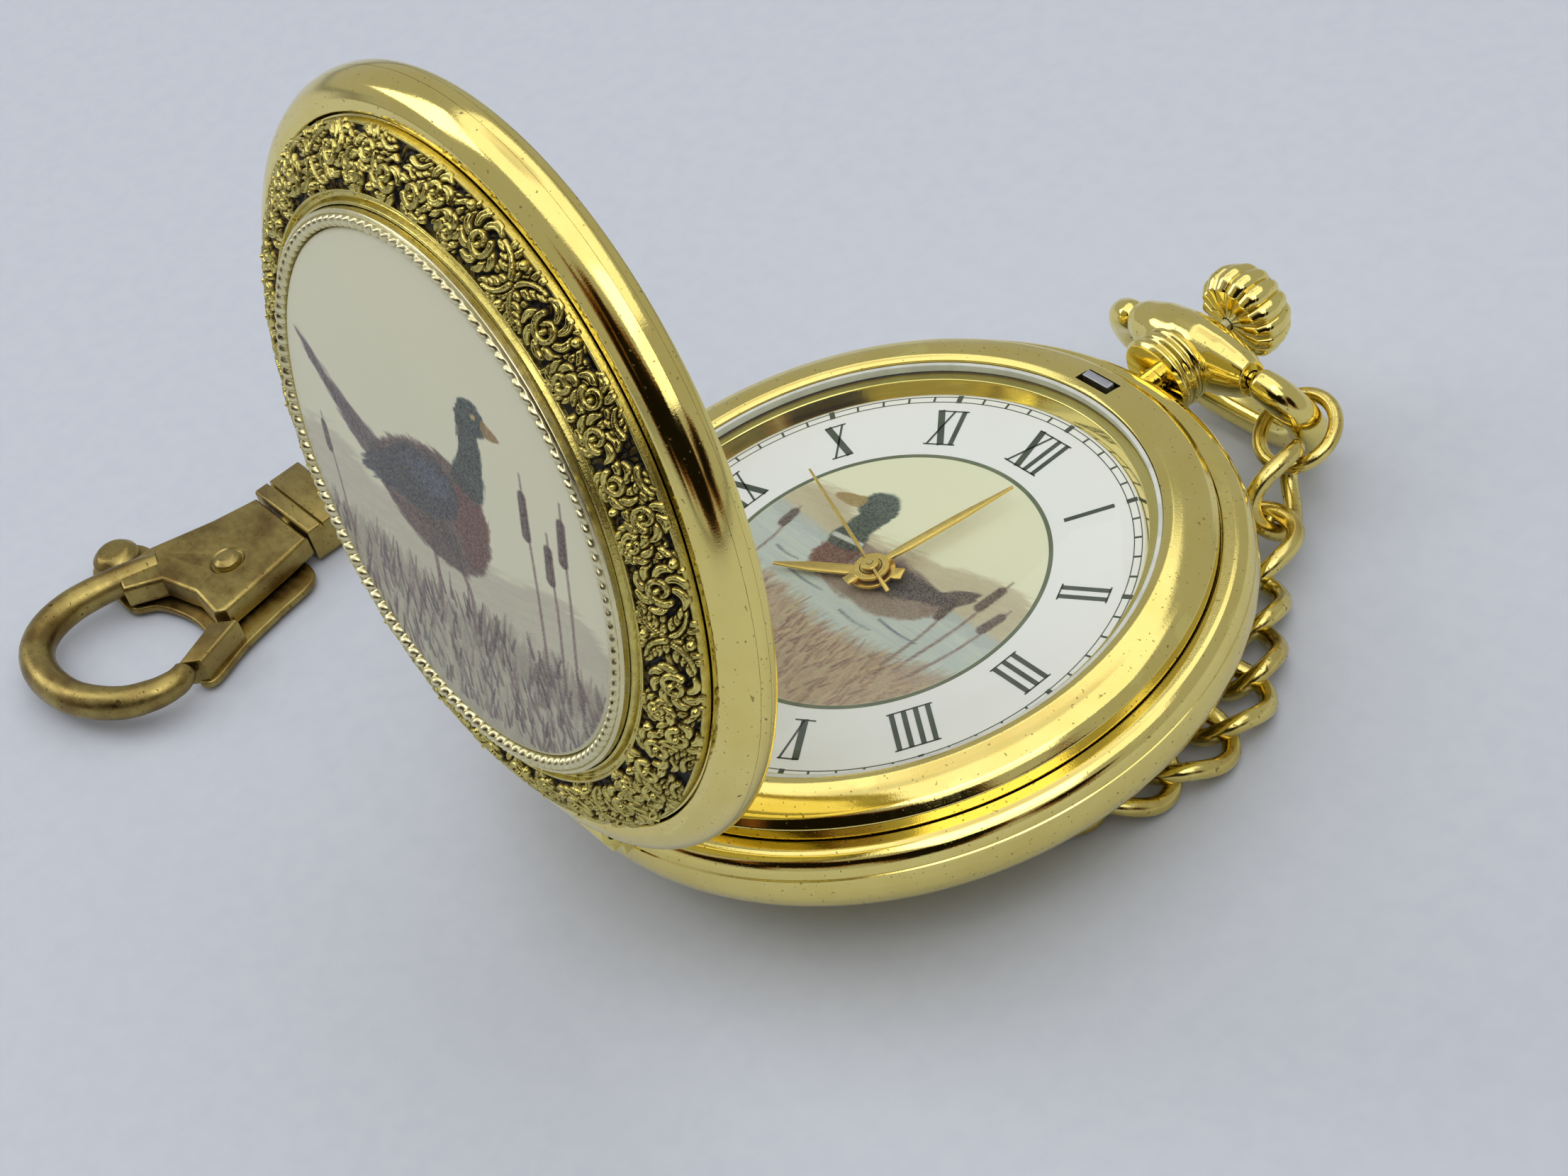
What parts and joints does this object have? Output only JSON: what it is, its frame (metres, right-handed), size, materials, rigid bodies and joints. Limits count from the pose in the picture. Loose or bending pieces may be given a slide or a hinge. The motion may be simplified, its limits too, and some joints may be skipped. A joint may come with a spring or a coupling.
{
  "type": "hunter pocket watch with chain",
  "caption": "Gold-plated hunter pocket watch standing open, with a sprung lid, white dial, winding crown, bow, curb chain and a trigger snap hook.",
  "frame": {"origin": "centre of the flat on the watch back", "axes": "+Z from the back towards the dial, +Y from the centre to the crown at twelve, +X to three o'clock; the lid hinge is at -Y"},
  "size_m": [0.0855, 0.0751, 0.0593],
  "materials": {
    "gold_plate": "polished gold plate, lightly rubbed",
    "antique_gold": "cast gold plate with darkened recesses",
    "pale_gold": "pale gold plate, bead edge",
    "hand_gold": "polished gold hands",
    "clasp_bronze": "satin plate, tarnished",
    "movement_brass": "stamped and cut brass",
    "spring_steel": "blued grey spring steel",
    "copper_wire": null,
    "picture_enamel": "cream printed plate under clear lacquer",
    "dial_paint": "white printed dial, satin",
    "crystal": "domed mineral glass",
    "gasket_rubber": "translucent white",
    "holder_plastic": "moulded white plastic",
    "plate_plastic": "moulded movement plate",
    "circuit_laminate": "green laminate"
  },
  "bodies": {
    "case": {"case_body": "gold_plate", "case_back": "gold_plate", "bezel": "gold_plate", "crystal": "crystal", "crystal_gasket": "gasket_rubber", "chapter_ring": "gold_plate", "dial": "dial_paint", "movement_holder": "holder_plastic", "mainplate": "plate_plastic", "train_bridge": "movement_brass", "battery": "spring_steel", "battery_clip": "movement_brass", "coil": "copper_wire", "stator": "spring_steel", "circuit_board": "circuit_laminate", "pendant": "gold_plate", "hinge_pin": "spring_steel", "lid_spring": "spring_steel"},
    "lid": {"lid_shell": "gold_plate", "lid_ornament_ring": "antique_gold", "rope_bezel": "pale_gold", "picture_plate": "picture_enamel"},
    "catch": {"catch_spring": "spring_steel"},
    "crown_slider": {"release_collar": "spring_steel"},
    "crown": {"stem": "spring_steel", "crown": "gold_plate"},
    "minute": {"cannon_pinion": "movement_brass", "minute_hand": "hand_gold"},
    "minute_wheel": {"minute_wheel": "movement_brass"},
    "hour": {"hour_wheel": "movement_brass", "hour_hand": "hand_gold"},
    "seconds": {"seconds_wheel": "movement_brass", "second_hand": "hand_gold"},
    "rotor": {"rotor": "spring_steel"},
    "intermediate": {"intermediate_wheel": "movement_brass"},
    "third": {"third_wheel": "movement_brass"},
    "centre": {"centre_wheel": "movement_brass"},
    "bow": {"bow": "gold_plate"},
    "jump_ring": {"jump_ring": "gold_plate"},
    "chain_01": {"chain_01": "gold_plate"},
    "chain_02": {"chain_02": "gold_plate"},
    "chain_03": {"chain_03": "gold_plate"},
    "chain_04": {"chain_04": "gold_plate"},
    "chain_05": {"chain_05": "gold_plate"},
    "chain_06": {"chain_06": "gold_plate"},
    "chain_07": {"chain_07": "gold_plate"},
    "chain_08": {"chain_08": "gold_plate"},
    "chain_09": {"chain_09": "gold_plate"},
    "chain_10": {"chain_10": "gold_plate"},
    "chain_11": {"chain_11": "gold_plate"},
    "chain_12": {"chain_12": "gold_plate"},
    "chain_13": {"chain_13": "gold_plate"},
    "chain_14": {"chain_14": "gold_plate"},
    "swivel_eye": {"swivel_eye": "clasp_bronze"},
    "clasp": {"clasp_body": "clasp_bronze", "clasp_rivet": "clasp_bronze"},
    "clasp_trigger": {"clasp_trigger": "clasp_bronze"}
  },
  "joints": [
    {"name": "lid_hinge", "type": "hinge", "parent": "case", "child": "lid", "pos_m": [0, -0.0245, 0.0083], "axis": [1, 0, 0], "range_deg": [-79, 14], "stiffness_Nm_per_rad": 0.02},
    {"name": "catch_press", "type": "slide", "parent": "case", "child": "catch", "axis": [0, 1, 0], "range_m": [-0.00025, 0], "stiffness_N_per_m": 400},
    {"name": "crown_pull", "type": "slide", "parent": "case", "child": "crown_slider", "axis": [0, 1, 0], "range_m": [-0.0008, 0.001]},
    {"name": "crown_turn", "type": "hinge", "parent": "crown_slider", "child": "crown", "pos_m": [0, 0.03, 0.0065], "axis": [0, 1, 0], "continuous": true},
    {"name": "minute_turn", "type": "hinge", "parent": "case", "child": "minute", "pos_m": [0, 0, 0.008], "axis": [0, 0, -1], "continuous": true},
    {"name": "minute_wheel_turn", "type": "hinge", "parent": "case", "child": "minute_wheel", "pos_m": [-0.00362, -0.00132, 0.006], "axis": [0, 0, -1], "continuous": true},
    {"name": "hour_turn", "type": "hinge", "parent": "case", "child": "hour", "pos_m": [0, 0, 0.008], "axis": [0, 0, -1], "continuous": true},
    {"name": "seconds_turn", "type": "hinge", "parent": "case", "child": "seconds", "pos_m": [0, 0, 0.008], "axis": [0, 0, -1], "continuous": true},
    {"name": "rotor_turn", "type": "hinge", "parent": "case", "child": "rotor", "pos_m": [0.0043, 0.00427, 0.003], "axis": [0, 0, -1], "continuous": true},
    {"name": "intermediate_turn", "type": "hinge", "parent": "case", "child": "intermediate", "pos_m": [0.00155, 0.00268, 0.003], "axis": [0, 0, -1], "continuous": true},
    {"name": "third_turn", "type": "hinge", "parent": "case", "child": "third", "pos_m": [0.00198, -0.00342, 0.003], "axis": [0, 0, -1], "continuous": true},
    {"name": "centre_turn", "type": "hinge", "parent": "case", "child": "centre", "pos_m": [0, 0, 0.0045], "axis": [0, 0, -1], "continuous": true},
    {"name": "bow_swing", "type": "hinge", "parent": "case", "child": "bow", "pos_m": [0, 0.028, 0.0065], "axis": [1, 0, 0], "range_deg": [0, 155]},
    {"name": "jump_ring_swivel", "type": "hinge", "parent": "bow", "child": "jump_ring", "pos_m": [0.0081, 0.02935, 0.00316], "axis": [0, 0.3746, -0.9272], "range_deg": [-20, 0]},
    {"name": "chain_swing", "type": "hinge", "parent": "jump_ring", "child": "chain_01", "pos_m": [0.00928, 0.0264, 0.00197], "axis": [0.8988, 0.4065, 0.1642], "range_deg": [0, 60]},
    {"name": "chain_hinge_01", "type": "hinge", "parent": "chain_01", "child": "chain_02", "pos_m": [0.01181, 0.01946, -0.00152], "axis": [0, 0, 1], "range_deg": [-20, 10]},
    {"name": "chain_hinge_02", "type": "hinge", "parent": "chain_02", "child": "chain_03", "pos_m": [0.01464, 0.01609, -0.00152], "axis": [0, 0, -1], "range_deg": [-20, 20]},
    {"name": "chain_hinge_03", "type": "hinge", "parent": "chain_03", "child": "chain_04", "pos_m": [0.0178, 0.01304, -0.00152], "axis": [0, 0, 1], "range_deg": [-6, 20]},
    {"name": "chain_hinge_04", "type": "hinge", "parent": "chain_04", "child": "chain_05", "pos_m": [0.01945, 0.00896, -0.00152], "axis": [0, 0, -1], "range_deg": [-20, 6]},
    {"name": "chain_hinge_05", "type": "hinge", "parent": "chain_05", "child": "chain_06", "pos_m": [0.0193, 0.00456, -0.00152], "axis": [0, 0, 1], "range_deg": [-6, 20]},
    {"name": "chain_hinge_06", "type": "hinge", "parent": "chain_06", "child": "chain_07", "pos_m": [0.01737, 0.0006, -0.00152], "axis": [0, 0, -1], "range_deg": [-20, 7]},
    {"name": "chain_hinge_07", "type": "hinge", "parent": "chain_07", "child": "chain_08", "pos_m": [0.01405, -0.00228, -0.00152], "axis": [0, 0, 1], "range_deg": [-9, 20]},
    {"name": "chain_hinge_08", "type": "hinge", "parent": "chain_08", "child": "chain_09", "pos_m": [0.00991, -0.00379, -0.00152], "axis": [0, 0, -1], "range_deg": [-20, 19]},
    {"name": "chain_hinge_09", "type": "hinge", "parent": "chain_09", "child": "chain_10", "pos_m": [-0.01182, -0.00723, -0.00152], "axis": [0, 0, 1], "range_deg": [-2, 20]},
    {"name": "chain_hinge_10", "type": "hinge", "parent": "chain_10", "child": "chain_11", "pos_m": [-0.03262, -0.00007, -0.00152], "axis": [0, 0, -1], "range_deg": [-9, 20]},
    {"name": "chain_hinge_11", "type": "hinge", "parent": "chain_11", "child": "chain_12", "pos_m": [-0.04141, -0.00037, -0.00152], "axis": [0, 0, 1], "range_deg": [-20, 8]},
    {"name": "chain_hinge_12", "type": "hinge", "parent": "chain_12", "child": "chain_13", "pos_m": [-0.04543, -0.00216, -0.00152], "axis": [0, 0, -1], "range_deg": [-8, 20]},
    {"name": "chain_hinge_13", "type": "hinge", "parent": "chain_13", "child": "chain_14", "pos_m": [-0.04849, -0.00533, -0.00152], "axis": [0, 0, 1], "range_deg": [-20, 8]},
    {"name": "chain_hinge_14", "type": "hinge", "parent": "chain_14", "child": "swivel_eye", "pos_m": [-0.05014, -0.00941, -0.00152], "axis": [0, 0, -1], "range_deg": [-8, 20]},
    {"name": "clasp_swivel", "type": "hinge", "parent": "swivel_eye", "child": "clasp", "pos_m": [-0.05014, -0.01641, -0.00105], "axis": [0, 1, 0], "continuous": true},
    {"name": "clasp_trigger_press", "type": "hinge", "parent": "clasp", "child": "clasp_trigger", "pos_m": [-0.0494, -0.0237, -0.0025], "axis": [0, 0, -1], "range_deg": [0, 20], "stiffness_Nm_per_rad": 0.01}
  ],
  "couplings": [
    {"joint": "minute_wheel_turn", "follows": "minute_turn", "ratio": -0.33333},
    {"joint": "hour_turn", "follows": "minute_turn", "ratio": 0.083333},
    {"joint": "rotor_turn", "follows": "seconds_turn", "ratio": 30},
    {"joint": "intermediate_turn", "follows": "seconds_turn", "ratio": -5},
    {"joint": "third_turn", "follows": "seconds_turn", "ratio": -0.13333},
    {"joint": "centre_turn", "follows": "seconds_turn", "ratio": 0.016667}
  ]
}
